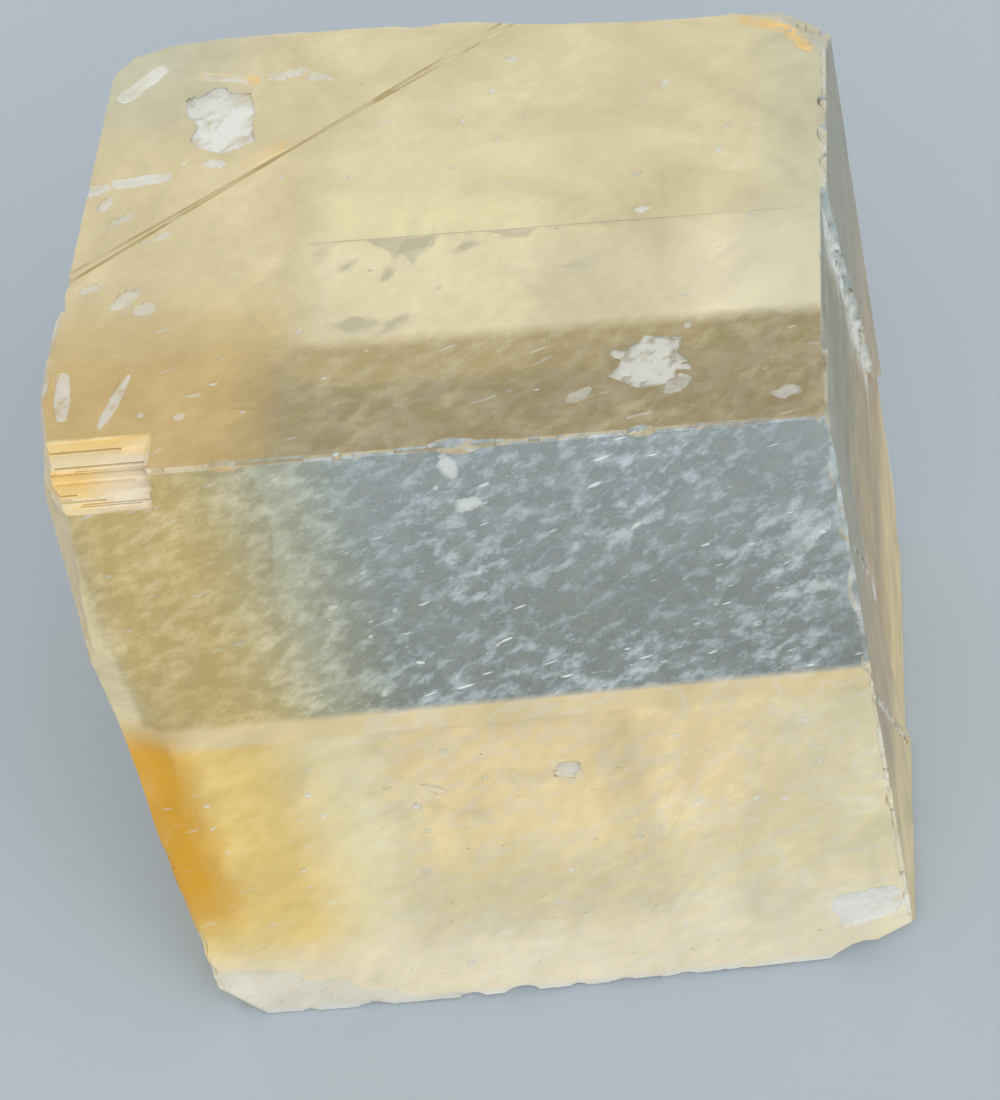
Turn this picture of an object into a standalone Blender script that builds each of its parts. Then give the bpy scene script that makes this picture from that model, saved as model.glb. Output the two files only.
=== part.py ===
"""Model a calcite specimen: one clear, honey-yellow cleavage rhomb with worn edges and corners.

Run it with blender --background --python part.py, or from Blender's text editor.
Places in the crystal are given in millimetres along its three edges, measured from the front
left corner of the base: a runs along the front, b runs to the back and c rises to the top.
"""

import math
import random

import bmesh
import bpy
from mathutils import Matrix, Vector, noise

MM = 0.001

# Driving dimensions: the three edges of the rhomb, in millimetres.
FRONT_EDGE = 48.3
DEPTH_EDGE = 38.2
RISE_EDGE = 47.5
# The blunt angle between two edges of calcite's cleavage rhomb, in degrees.
BLUNT_ANGLE = 101.9
# The dull rounding along all the edges, in millimetres.
EDGE_ROUNDING = 0.22
# How far a broken surface waves in and out, and how far apart its waves are on a plane break
# and in a curved chip, in millimetres.
FRACTURE_WAVE = 0.12
BREAK_SPACING = 2.4
CHIP_SPACING = 1.8
# The step between the waves of one cutter and those of the next.
WAVE_SHIFT = Vector((3.1, 1.7, 2.3))
# A cutter for a plane break is this many times as wide as the break reaches, and its surface
# has a point about this often, in millimetres.
BREAK_SPREAD = 3.0
BREAK_GRID = 2.2
# A curved chip of less than this radius is made of fewer faces, in millimetres.
SMALL_CHIP = 2.5
# The outline of a peeled layer has a point this often, moved by up to this much, in millimetres.
OUTLINE_PIECE = 2.0
OUTLINE_JITTER = 0.45
# How far a cutter reaches out of the crystal, in millimetres.
OVERRUN = 2.0
# Points closer than this are welded, in millimetres.
WELD = 0.001
# Each worn edge gets this many stepped nicks and this many curved ones. The pairs are the
# least and the most of a length, depth or radius in millimetres, or of a stretch.
STEPS_PER_EDGE = 7
STEP_LENGTH = (0.6, 4.5)
STEP_DEPTH = (0.15, 0.38)
SHELLS_PER_EDGE = 3
SHELL_RADIUS = (0.7, 1.8)
SHELL_DEPTH = (0.35, 0.6)
SHELL_STRETCH = (1.0, 2.2)
SHELL_MARGIN = 2.0
# A step of a broken corner takes this share of its reach along each edge, and all of it is
# then scaled to lie within the corner.
STAIR_SHARE = (0.08, 1.0)
STAIR_SCALE = (0.75, 1.0)
# The honey-yellow colour and the gloss of a fresh cleavage face.
HONEY = (0.86, 0.74, 0.42, 1.0)
CLEAVAGE_ROUGHNESS = 0.08

OBJECT_NAME = "calcite_specimen"
NODE_NAME = "calcite_rhomb"
EDGES = (FRONT_EDGE, DEPTH_EDGE, RISE_EDGE)
# The edges that a face's outline runs along, and the one across it: 0 front, 1 depth, 2 rise.
FACE_AXES = {"left": (1, 2, 0), "right": (1, 2, 0), "front": (0, 2, 1), "back": (0, 2, 1),
             "base": (0, 1, 2), "top": (0, 1, 2)}


def edge_directions():
    """Return the unit directions of the front, depth and rise edges."""
    blunt = math.cos(math.radians(BLUNT_ANGLE))
    front = Vector((1.0, 0.0, 0.0))
    depth = Vector((-blunt, math.sqrt(1.0 - blunt * blunt), 0.0))
    rise_y = (-blunt - blunt * depth.x) / depth.y
    rise = Vector((blunt, rise_y, math.sqrt(1.0 - blunt * blunt - rise_y * rise_y)))
    return front, depth, rise


FRONT, DEPTH, RISE = edge_directions()
OUTWARD = {
    "front": FRONT.cross(RISE).normalized(),
    "right": DEPTH.cross(RISE).normalized(),
    "top": FRONT.cross(DEPTH).normalized(),
}
OUTWARD["back"] = -OUTWARD["front"]
OUTWARD["left"] = -OUTWARD["right"]
OUTWARD["base"] = -OUTWARD["top"]


def point(a, b, c):
    """Return the point at a, b, c in metres, with the centre of the base face at the origin."""
    across = FRONT * (a - FRONT_EDGE / 2)
    back = DEPTH * (b - DEPTH_EDGE / 2)
    return (across + back + RISE * c) * MM


def clear_scene():
    """Remove every object of the open scene."""
    for old in list(bpy.data.objects):
        bpy.data.objects.remove(old, do_unlink=True)


def new_collection(name):
    """Return a new collection in the scene."""
    made = bpy.data.collections.new(name)
    bpy.context.scene.collection.children.link(made)
    return made


def move_to(thing, group):
    """Put an object in one collection only."""
    for old in list(thing.users_collection):
        old.objects.unlink(thing)
    group.objects.link(thing)


def keep_as_cutter(thing, name, group):
    """Name a cutter, file it and keep it out of the render."""
    thing.name = name
    thing.hide_render = True
    thing.display_type = "WIRE"
    move_to(thing, group)


def cleavage_block(low, high):
    """Add a block bounded by cleavage planes, between two places in the crystal."""
    bpy.ops.mesh.primitive_cube_add(size=1.0)
    block = bpy.context.object
    size = [end - start for start, end in zip(low, high)]
    middle = [(end + start) / 2 for start, end in zip(low, high)]
    sides = Matrix((FRONT * size[0], DEPTH * size[1], RISE * size[2])).transposed()
    block.data.transform((sides * MM).to_4x4())
    block.data.transform(Matrix.Translation(point(*middle)))
    return block


def wave_surface(mesh, spacing, seed):
    """Move a mesh's points in and out a little, as a fracture waves."""
    shift = WAVE_SHIFT * seed
    for vertex in mesh.vertices:
        wave = noise.noise_vector(vertex.co / (spacing * MM) + shift)
        vertex.co += wave * FRACTURE_WAVE * MM


def fracture_slab(name, group, places, width, seed):
    """Add a slab that breaks the crystal off beyond the plane through three places."""
    corners = [point(*place) for place in places]
    middle = sum(corners, Vector()) / 3
    outward = (corners[1] - corners[0]).cross(corners[2] - corners[0]).normalized()
    heart = point(FRONT_EDGE / 2, DEPTH_EDGE / 2, RISE_EDGE / 2)
    if outward.dot(middle - heart) < 0:
        outward = -outward
    bpy.ops.mesh.primitive_cube_add(size=width * MM)
    slab = bpy.context.object
    edit = bmesh.new()
    edit.from_mesh(slab.data)
    cuts = max(2, round(width / BREAK_GRID))
    bmesh.ops.subdivide_edges(edit, edges=edit.edges[:], cuts=cuts, use_grid_fill=True)
    edit.to_mesh(slab.data)
    edit.free()
    turn = outward.to_track_quat("Z", "Y").to_matrix().to_4x4()
    slab.data.transform(Matrix.Translation(middle + outward * width * MM / 2) @ turn)
    wave_surface(slab.data, BREAK_SPACING, seed)
    keep_as_cutter(slab, name, group)


def shell_chip(name, group, place, faces, radius, depth, along=None, stretch=1.0, seed=1):
    """Add a rippled ball that takes a hollow, curved chip out of the crystal at a place.

    faces says how far the chip opens to each face, and along and stretch draw it out.
    """
    outward = sum((OUTWARD[face] * share for face, share in faces.items()), Vector())
    outward.normalize()
    side = along if along else outward.orthogonal()
    side = (side - outward * side.dot(outward)).normalized()
    turn = Matrix((side, outward.cross(side), outward)).transposed().to_4x4()
    fineness = 2 if radius < SMALL_CHIP else 3
    bpy.ops.mesh.primitive_ico_sphere_add(subdivisions=fineness, radius=radius * MM)
    ball = bpy.context.object
    centre = point(*place) + outward * (radius - depth) * MM
    ball.data.transform(turn @ Matrix.Diagonal((stretch, 1.0, 1.0, 1.0)))
    ball.data.transform(Matrix.Translation(centre))
    wave_surface(ball.data, CHIP_SPACING, seed)
    keep_as_cutter(ball, name, group)


def break_corner(name, group, corner, reaches, seed):
    """Break a corner off along planes, each given by its reach along the three edges.

    corner holds a 0 or a 1 for each edge: its start or its end.
    """
    start = [edge * end for edge, end in zip(EDGES, corner)]
    for number, reach in enumerate(reaches):
        places = []
        for axis in range(3):
            place = list(start)
            place[axis] += -reach[axis] if corner[axis] else reach[axis]
            places.append(place)
        width = BREAK_SPREAD * max(reach)
        fracture_slab(f"{name}_{number}", group, places, width, seed + number)


def worn_corners(group):
    """Break all eight corners, most of all the back and left ones of the top."""
    break_corner("top_back_left", group, (0, 1, 1),
                 [(11, 0.8, 9), (5.4, 2.1, 7), (2.7, 3.3, 7), (0.9, 5.2, 10)], 10)
    break_corner("top_back_right", group, (1, 1, 1), [(4.6, 5.4, 2.6), (10, 2.3, 1.3)], 20)
    break_corner("top_front_right", group, (1, 0, 1), [(0.8, 0.9, 0.9)], 30)
    break_corner("top_front_left", group, (0, 0, 1), [(2.0, 7.0, 5.5), (2.3, 3.6, 15)], 40)
    break_corner("base_front_left", group, (0, 0, 0), [(2.9, 2.3, 3.4), (13, 0.5, 4.4)], 50)
    break_corner("base_front_right", group, (1, 0, 0), [(5.6, 2.6, 2.8)], 60)
    break_corner("base_back_right", group, (1, 1, 0), [(1.6, 1.8, 5.0)], 70)
    break_corner("base_back_left", group, (0, 1, 0), [(2.6, 3.4, 2.0), (1.2, 6.0, 1.3)], 80)


def curved_chips(group):
    """Take the larger curved chips out of the edges."""
    shell_chip("left_front_edge", group, (0.4, 0, 26), {"front": 1, "left": 0.12},
               radius=6, depth=0.62, along=RISE, stretch=3.0, seed=3)
    shell_chip("top_back_edge", group, (37, DEPTH_EDGE, RISE_EDGE), {"back": 1, "top": 0.9},
               radius=6, depth=1.0, along=FRONT, stretch=4.2, seed=4)
    shell_chip("front_right_foot", group, (45, 0, 0), {"front": 1, "base": 1},
               radius=4, depth=1.3, along=FRONT, seed=5)
    shell_chip("front_foot", group, (20.2, 0, 0), {"front": 1, "base": 1},
               radius=1.5, depth=0.6, seed=6)
    shell_chip("back_foot", group, (31, DEPTH_EDGE, 0), {"back": 1, "base": 1},
               radius=5, depth=1.0, along=FRONT, stretch=1.8, seed=7)
    shell_chip("left_foot", group, (0, 21, 0), {"left": 1, "base": 1},
               radius=4, depth=0.9, along=DEPTH, stretch=1.7, seed=8)
    shell_chip("back_left_edge", group, (0, DEPTH_EDGE, 19), {"back": 1, "left": 1},
               radius=5, depth=0.9, along=RISE, stretch=2.0, seed=9)


def stair_break(name, group, corner, reach, count, seed):
    """Break a corner off in small cleavage steps that stay inside a reach along each edge."""
    draw = random.Random(seed)
    for number in range(count):
        shares = [draw.uniform(*STAIR_SHARE) for axis in range(3)]
        scale = draw.uniform(*STAIR_SCALE) / sum(shares)
        low = [-OVERRUN] * 3
        high = [edge + OVERRUN for edge in EDGES]
        for axis in range(3):
            inward = reach[axis] * shares[axis] * scale
            if corner[axis]:
                low[axis] = EDGES[axis] - inward
            else:
                high[axis] = inward
        keep_as_cutter(cleavage_block(low, high), f"{name}_{number}", group)


def stepped_corners(group):
    """Step the two right corners of the back, where the cleavages broke a little at a time."""
    stair_break("top_right_stair", group, (1, 1, 1), (5.5, 7.5, 4.5), 5, 31)
    stair_break("right_foot_stair", group, (1, 1, 0), (5, 6, 9), 4, 35)


def ragged_outline(corners, seed):
    """Return an outline with a point about every OUTLINE_PIECE, moved a little at random."""
    draw = random.Random(seed)
    outline = []
    for start, end in zip(corners, corners[1:] + corners[:1]):
        pieces = max(1, round(math.dist(start, end) / OUTLINE_PIECE))
        for piece in range(pieces):
            share = piece / pieces
            spot = [s + (e - s) * share for s, e in zip(start, end)]
            outline.append([along + draw.uniform(-OUTLINE_JITTER, OUTLINE_JITTER) for along in spot])
    return outline


def extruded_outline(name, outline, thickness):
    """Return the mesh of a flat outline in x and y, with a thickness in z, all in millimetres."""
    drawing = bpy.data.curves.new(name, "CURVE")
    drawing.dimensions = "2D"
    drawing.fill_mode = "BOTH"
    drawing.extrude = thickness / 2
    spline = drawing.splines.new("POLY")
    spline.points.add(len(outline) - 1)
    for spot, (x, y) in zip(spline.points, outline):
        spot.co = (x, y, 0.0, 1.0)
    spline.use_cyclic_u = True
    sketch = bpy.data.objects.new(name, drawing)
    bpy.context.scene.collection.objects.link(sketch)
    settled = sketch.evaluated_get(bpy.context.evaluated_depsgraph_get())
    mesh = bpy.data.meshes.new_from_object(settled)
    bpy.data.objects.remove(sketch, do_unlink=True)
    return mesh


def peel(name, group, face, corners, depth, seed):
    """Peel a cleavage layer of some depth off a face, inside a ragged outline on that face.

    The outline's x and y run along the face's two edges, and its thickness along the third edge.
    """
    mesh = extruded_outline(name, ragged_outline(corners, seed), OVERRUN + depth)
    first, second, third = FACE_AXES[face]
    lift = (OVERRUN - depth) / 2
    level = EDGES[third] + lift if face in ("right", "back", "top") else -lift
    for vertex in mesh.vertices:
        place = [0.0, 0.0, 0.0]
        place[first] = vertex.co.x
        place[second] = vertex.co.y
        place[third] = level + vertex.co.z
        vertex.co = point(*place)
    edit = bmesh.new()
    edit.from_mesh(mesh)
    bmesh.ops.remove_doubles(edit, verts=edit.verts[:], dist=WELD * MM)
    bmesh.ops.recalc_face_normals(edit, faces=edit.faces[:])
    edit.to_mesh(mesh)
    edit.free()
    cutter = bpy.data.objects.new(name, mesh)
    bpy.context.scene.collection.objects.link(cutter)
    keep_as_cutter(cutter, name, group)


def peeled_layers(group):
    """Peel the layers that left low terraces on the faces."""
    peel("right_band", group, "right",
         [(18.2, 50), (31, 22), (34, 19), (41, 13), (41, -2), (18, -2), (16.8, 2.4),
          (8.2, 25.8), (6, 40), (5.5, 50)], 0.42, 11)
    peel("left_terrace", group, "left",
         [(14, 50), (17, 33), (26, 25), (41, 21), (41, 50)], 0.34, 22)
    peel("top_flake", group, "top",
         [(5.8, 28.5), (7.2, 33), (9.3, 32.2), (10.4, 28.0), (8.4, 26.8)], 0.16, 15)
    peel("top_bruise", group, "top",
         [(34.8, 4.6), (36.9, 7.6), (39.4, 7.2), (39.0, 4.0), (36.4, 3.6)], 0.14, 16)


def corner_ledges(group):
    """Cut the short stair of ledges into the left end of the top front edge."""
    ledges = [(3.1, 47.2), (2.5, 46.9), (1.6, 46.2), (1.2, 45.9), (0.5, 44.7)]
    for number, (depth, height) in enumerate(ledges):
        end = 7.4 - 0.22 * (number % 3)
        low = (-OVERRUN, -OVERRUN, height)
        high = (end, depth, RISE_EDGE + OVERRUN)
        keep_as_cutter(cleavage_block(low, high), f"corner_ledge_{number}", group)


def edge_place(axis, sides, along):
    """Return the place at a distance along one of the four edges that run along an axis."""
    place = [0.0, 0.0, 0.0]
    others = [other for other in range(3) if other != axis]
    place[axis] = along
    for other, side in zip(others, sides):
        place[other] = EDGES[other] * side
    return place, others


def edge_nicks(group):
    """Wear all twelve edges with small stepped and curved nicks."""
    draw = random.Random(23)
    names = (("left", "right"), ("front", "back"), ("base", "top"))
    for axis in range(3):
        for sides in ((0, 0), (0, 1), (1, 0), (1, 1)):
            for number in range(STEPS_PER_EDGE):
                length = draw.uniform(*STEP_LENGTH)
                place, others = edge_place(axis, sides, draw.uniform(0, EDGES[axis] - length))
                low = list(place)
                high = list(place)
                high[axis] += length
                for other, side in zip(others, sides):
                    inward = draw.uniform(*STEP_DEPTH)
                    low[other] += -inward if side else -OVERRUN
                    high[other] += OVERRUN if side else inward
                block = cleavage_block(low, high)
                keep_as_cutter(block, f"step_{axis}{sides[0]}{sides[1]}_{number}", group)
            for number in range(SHELLS_PER_EDGE):
                along = draw.uniform(SHELL_MARGIN, EDGES[axis] - SHELL_MARGIN)
                place, others = edge_place(axis, sides, along)
                faces = {names[other][side]: 1.0 for other, side in zip(others, sides)}
                shell_chip(f"shell_{axis}{sides[0]}{sides[1]}_{number}", group, place, faces,
                           radius=draw.uniform(*SHELL_RADIUS), depth=draw.uniform(*SHELL_DEPTH),
                           along=(FRONT, DEPTH, RISE)[axis],
                           stretch=draw.uniform(*SHELL_STRETCH), seed=draw.randrange(1000))


def calcite_material():
    """Return the clear, honey-yellow material of the crystal."""
    material = bpy.data.materials.new("honey_calcite")
    material.use_nodes = True
    shader = material.node_tree.nodes["Principled BSDF"]
    shader.inputs["Base Color"].default_value = HONEY
    shader.inputs["Roughness"].default_value = CLEAVAGE_ROUGHNESS
    shader.inputs["Metallic"].default_value = 0.0
    return material


def cut_away(crystal, cutter):
    """Cut one cutter out of the crystal."""
    cut = crystal.modifiers.new(cutter.name, "BOOLEAN")
    cut.operation = "DIFFERENCE"
    cut.solver = "EXACT"
    cut.object = cutter


def main():
    """Build the crystal in its collection, and its cutters in theirs."""
    clear_scene()
    home = new_collection(OBJECT_NAME)
    crystal = cleavage_block((0, 0, 0), EDGES)
    crystal.name = NODE_NAME
    crystal.data.name = NODE_NAME
    crystal.data.materials.append(calcite_material())
    move_to(crystal, home)
    cutters = new_collection("cutters")
    worn_corners(cutters)
    curved_chips(cutters)
    stepped_corners(cutters)
    peeled_layers(cutters)
    corner_ledges(cutters)
    edge_nicks(cutters)
    rounding = crystal.modifiers.new("dull_edges", "BEVEL")
    rounding.width = EDGE_ROUNDING * MM
    rounding.segments = 2
    for cutter in cutters.objects:
        cut_away(crystal, cutter)


main()
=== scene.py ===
"""Dress the calcite rhomb: clear, honey-yellow crystal with fine chips, scratches and bruises.

Places in the crystal are in millimetres along its three edges, measured from the front left
corner of the base: a runs along the front, b runs to the back and c rises to the top.
"""

import math
import random

import bmesh
import bpy
import numpy as np
from mathutils import Matrix, Quaternion, Vector, noise


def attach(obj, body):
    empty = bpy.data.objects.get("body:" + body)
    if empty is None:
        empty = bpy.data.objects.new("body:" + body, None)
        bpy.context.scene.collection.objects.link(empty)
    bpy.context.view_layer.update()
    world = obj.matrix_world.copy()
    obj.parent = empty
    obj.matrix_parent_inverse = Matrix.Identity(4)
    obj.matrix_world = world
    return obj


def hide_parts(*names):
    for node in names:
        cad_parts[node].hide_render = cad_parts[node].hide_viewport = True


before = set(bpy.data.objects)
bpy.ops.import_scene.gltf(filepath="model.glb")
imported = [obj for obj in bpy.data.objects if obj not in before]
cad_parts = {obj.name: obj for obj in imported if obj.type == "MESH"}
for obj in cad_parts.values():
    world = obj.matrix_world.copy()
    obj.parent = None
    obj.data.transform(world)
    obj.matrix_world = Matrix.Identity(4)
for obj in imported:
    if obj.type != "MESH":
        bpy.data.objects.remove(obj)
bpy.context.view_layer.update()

MM = 0.001
NODE = "calcite_rhomb"

# The crystal's three edges in millimetres, and the blunt angle between them in degrees.
FRONT_EDGE = 48.3
DEPTH_EDGE = 38.2
RISE_EDGE = 47.5
BLUNT_ANGLE = 101.9
EDGES = (FRONT_EDGE, DEPTH_EDGE, RISE_EDGE)

# Optics of the crystal: its refractive index, and how it absorbs light per metre.
CRYSTAL_IOR = 1.62
HONEY = (0.90, 0.72, 0.30, 1.0)
HONEY_DENSITY = 6.5

# Fracture surfaces, in millimetres: how much deeper the fine cut goes than the coarse one, its
# waves as spacing and height, the grid of its points, and how far a cut reaches into the open.
DEEPER = 0.14
WAVES = ((2.4, 0.12), (0.8, 0.035), (0.3, 0.012))
GRID = 0.5
OVERRUN = 2.0

# Patches in a face: from which radius one counts as large or tiny, the power of its outline,
# and the spacing of the broad and the fine waves in its rim.
LARGE_PATCH = 1.45
TINY_PATCH = 0.35
NEARLY_SQUARE = 5.0
ELLIPSE = 2.0
LARGE_WAVES = (1.1, 0.35)
SMALL_WAVES = (0.6, 0.2)

# How far the noise is shifted from one seed to the next.
FRACTURE_SHIFT = (3.1, 1.7, 2.3)
PATCH_SHIFT = (1.9, 2.7, 0.7)
CLOUD_SHIFT = (7.3, 3.1, 5.7)

# The seed of the noise, which would change from run to run without one, and the first seed of
# each kind of cut, which counts up from one cut to the next.
NOISE_SEED = 3
BREAK_SEED = 10
CHIP_SEED = 40
BRUISE_SEED = 7
SPECK_SEED = 30


def edge_directions():
    """Return the unit directions of the front, depth and rise edges."""
    blunt = math.cos(math.radians(BLUNT_ANGLE))
    front = Vector((1.0, 0.0, 0.0))
    depth = Vector((-blunt, math.sqrt(1.0 - blunt * blunt), 0.0))
    rise_y = (-blunt - blunt * depth.x) / depth.y
    rise = Vector((blunt, rise_y, math.sqrt(1.0 - blunt * blunt - rise_y * rise_y)))
    return front, depth, rise


FRONT, DEPTH, RISE = edge_directions()
OUTWARD = {
    "front": FRONT.cross(RISE).normalized(),
    "right": DEPTH.cross(RISE).normalized(),
    "top": FRONT.cross(DEPTH).normalized(),
}
OUTWARD["back"] = -OUTWARD["front"]
OUTWARD["left"] = -OUTWARD["right"]
OUTWARD["base"] = -OUTWARD["top"]


def point(a, b, c):
    """Return the point at a, b, c in metres, in the frame of the CAD."""
    across = FRONT * (a - FRONT_EDGE / 2)
    back = DEPTH * (b - DEPTH_EDGE / 2)
    return (across + back + RISE * c) * MM


def wave_vertices(vertices, seed):
    """Move points in and out a little, as a fracture waves."""
    shift = Vector(FRACTURE_SHIFT) * seed
    for vertex in vertices:
        wave = Vector()
        for spacing, height in WAVES:
            wave += noise.noise_vector(vertex.co / (spacing * MM) + shift) * height * MM
        vertex.co += wave


def squareness_power(radii):
    """Return the power of a patch's outline: nearly square if large, else an ellipse."""
    return NEARLY_SQUARE if max(radii) > LARGE_PATCH else ELLIPSE


def pillow_point(ball_point, radii, depth, seed):
    """Return where a point of the unit ball goes on a flat pillow with a ragged rim."""
    large = max(radii) > LARGE_PATCH
    waves = LARGE_WAVES if large else SMALL_WAVES
    ragged = 0.6 * min(radii) if large else math.sqrt(radii[0] * radii[1])
    power = squareness_power(radii)
    shift = Vector(PATCH_SHIFT) * seed
    x, y, z = ball_point
    squareness = (abs(x) ** power + abs(y) ** power) ** (1.0 / power)
    near_pole = squareness <= 0.05
    wider = 1.0 if near_pole else math.hypot(x, y) / squareness
    moved = Vector((x * wider * radii[0], y * wider * radii[1], z * depth))
    broad = noise.noise_vector(moved / waves[0] + shift)
    fine = noise.noise_vector(moved / waves[1] + shift)
    moved.x += (broad.x * 0.45 + fine.x * 0.15) * ragged
    moved.y += (broad.y * 0.45 + fine.y * 0.15) * ragged
    moved.z += (0.3 * broad.z + 0.2 * fine.z) * depth
    return moved


class Cutter:
    """A mesh that is cut out of the crystal, built up from closed shapes that don't meet."""

    made = []

    def __init__(self, name):
        self.name = name
        self.edit = bmesh.new()

    def block(self, low, high):
        """Add a block bounded by cleavage planes, between two places."""
        cube = bmesh.ops.create_cube(self.edit, size=1.0)
        for vertex in cube["verts"]:
            share = [value + 0.5 for value in vertex.co]
            place = [start + (end - start) * part for start, end, part in zip(low, high, share)]
            vertex.co = point(*place)

    def slab(self, middle, outward, width, seed):
        """Make an empty cutter a slab with a wavy lower face through a point, reaching outward."""
        turn = outward.to_track_quat("Z", "Y").to_matrix().to_4x4()
        count = round(width / GRID)
        sheet = bmesh.ops.create_grid(self.edit, x_segments=count, y_segments=count,
                                      size=width * MM / 2,
                                      matrix=Matrix.Translation(middle) @ turn)
        lower = sheet["verts"]
        lifted = bmesh.ops.extrude_face_region(self.edit, geom=self.edit.faces[:],
                                               use_keep_orig=True)
        upper = [item for item in lifted["geom"] if isinstance(item, bmesh.types.BMVert)]
        for vertex in upper:
            vertex.co += outward * width * MM / 2
        bmesh.ops.recalc_face_normals(self.edit, faces=self.edit.faces[:])
        wave_vertices(lower, seed)

    def ball(self, place, faces, radius, depth, along, stretch, seed, fineness):
        """Add a rippled ball that takes a hollow chip out at a place, open to some faces."""
        outward = sum((OUTWARD[face] * share for face, share in faces.items()), Vector())
        outward.normalize()
        side = (along - outward * along.dot(outward)).normalized()
        turn = Matrix((side, outward.cross(side), outward)).transposed().to_4x4()
        centre = point(*place) + outward * (radius - depth) * MM
        shape = Matrix.Translation(centre) @ turn @ Matrix.Diagonal((stretch, 1.0, 1.0, 1.0))
        ball = bmesh.ops.create_icosphere(self.edit, subdivisions=fineness,
                                          radius=radius * MM, matrix=shape)
        wave_vertices(ball["verts"], seed)

    def bruise(self, face, place, radii, depth, turn, seed):
        """Add a flat, squarish pillow that takes a shallow, ragged patch out of a face."""
        outward = OUTWARD[face]
        side = DEPTH if face == "right" else FRONT
        side = Matrix.Rotation(math.radians(turn), 3, outward) @ side
        side = (side - outward * side.dot(outward)).normalized()
        basis = Matrix((side, outward.cross(side), outward)).transposed()
        fineness = 4
        if max(radii) > LARGE_PATCH:
            fineness = 5
        elif max(radii) <= TINY_PATCH:
            fineness = 2
        ball = bmesh.ops.create_icosphere(self.edit, subdivisions=fineness, radius=1.0)
        for vertex in ball["verts"]:
            moved = pillow_point(vertex.co, radii, depth, seed)
            vertex.co = point(*place) + basis @ moved * MM

    def film(self, outline, level, thickness):
        """Add a thin flat film along a and c at one depth b, with a given outline."""
        ring = [self.edit.verts.new(point(a, level, c)) for a, c in outline]
        face = self.edit.faces.new(ring)
        lifted = bmesh.ops.extrude_face_region(self.edit, geom=[face], use_keep_orig=True)
        moved = [item for item in lifted["geom"] if isinstance(item, bmesh.types.BMVert)]
        for vertex in moved:
            vertex.co += OUTWARD["back"] * thickness * MM
        bmesh.ops.recalc_face_normals(self.edit, faces=self.edit.faces[:])

    def done(self):
        """Close the cutter and keep it for cutting."""
        mesh = bpy.data.meshes.new(self.name)
        self.edit.to_mesh(mesh)
        self.edit.free()
        thing = bpy.data.objects.new(self.name, mesh)
        bpy.context.scene.collection.objects.link(thing)
        Cutter.made.append(thing)


# Each corner's breaks: its reach along a, b and c, as the CAD has them.
CORNER_BREAKS = {
    (0, 1, 1): [(11, 0.8, 9), (5.4, 2.1, 7), (2.7, 3.3, 7), (0.9, 5.2, 10)],
    (1, 1, 1): [(4.6, 5.4, 2.6), (10, 2.3, 1.3)],
    (1, 0, 1): [(0.8, 0.9, 0.9)],
    (0, 0, 1): [(2.0, 7.0, 5.5), (2.3, 3.6, 15)],
    (0, 0, 0): [(2.9, 2.3, 3.4), (13, 0.5, 4.4)],
    (1, 0, 0): [(5.6, 2.6, 2.8)],
    (1, 1, 0): [(1.6, 1.8, 5.0)],
    (0, 1, 0): [(2.6, 3.4, 2.0), (1.2, 6.0, 1.3)],
}

# The curved chips, as the CAD has them: place, the faces that each opens to, radius, depth, the
# direction that it is drawn out along, and how far.
CURVED_CHIPS = (
    ((0.4, 0, 26), {"front": 1, "left": 0.12}, 6, 0.62, RISE, 3.0),
    ((37, DEPTH_EDGE, RISE_EDGE), {"back": 1, "top": 0.9}, 6, 1.0, FRONT, 4.2),
    ((45, 0, 0), {"front": 1, "base": 1}, 4, 1.3, FRONT, 1.0),
    ((20.2, 0, 0), {"front": 1, "base": 1}, 1.5, 0.6, FRONT, 1.0),
    ((31, DEPTH_EDGE, 0), {"back": 1, "base": 1}, 5, 1.0, FRONT, 1.8),
    ((0, 21, 0), {"left": 1, "base": 1}, 4, 0.9, DEPTH, 1.7),
    ((0, DEPTH_EDGE, 19), {"back": 1, "left": 1}, 5, 0.9, RISE, 2.0),
)


def break_points(corner, reach):
    """Return the three points where a corner's break meets the crystal's edges."""
    found = []
    for axis in range(3):
        place = [edge * end for edge, end in zip(EDGES, corner)]
        place[axis] += -reach[axis] if corner[axis] else reach[axis]
        found.append(point(*place))
    return found


def smooth_corner_breaks():
    """Cut the coarse corner breaks a little deeper, with fine fracture waves."""
    heart = point(FRONT_EDGE / 2, DEPTH_EDGE / 2, RISE_EDGE / 2)
    breaks = [(corner, reach) for corner, reaches in CORNER_BREAKS.items() for reach in reaches]
    for seed, (corner, reach) in enumerate(breaks, BREAK_SEED):
        first, second, third = break_points(corner, reach)
        middle = (first + second + third) / 3
        outward = (second - first).cross(third - first).normalized()
        if outward.dot(middle - heart) < 0:
            outward = -outward
        cutter = Cutter(f"break_{seed}")
        cutter.slab(middle - outward * DEEPER * MM, outward, 2.0 * (max(reach) + OVERRUN), seed)
        cutter.done()


def smooth_curved_chips():
    """Cut the coarse curved chips a little deeper, with fine ripples."""
    for seed, (place, faces, radius, depth, along, stretch) in enumerate(CURVED_CHIPS, CHIP_SEED):
        cutter = Cutter(f"chip_{seed}")
        cutter.ball(place, faces, radius, depth + DEEPER, along, stretch, seed, fineness=5)
        cutter.done()


# Nicks along the edges: how far they keep from the corners, and the share of them that is left
# on the crisp top front edge. Shells above a radius are made finer.
NICK_MARGIN = 3.5
CRISP_SHARE = 0.25
LARGE_SHELL = 0.7


def edge_place(axis, sides, along):
    """Return the place at a distance along one of the four edges that run along an axis."""
    place = [0.0, 0.0, 0.0]
    others = [other for other in range(3) if other != axis]
    place[axis] = along
    for other, side in zip(others, sides):
        place[other] = EDGES[other] * side
    return place, others


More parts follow.
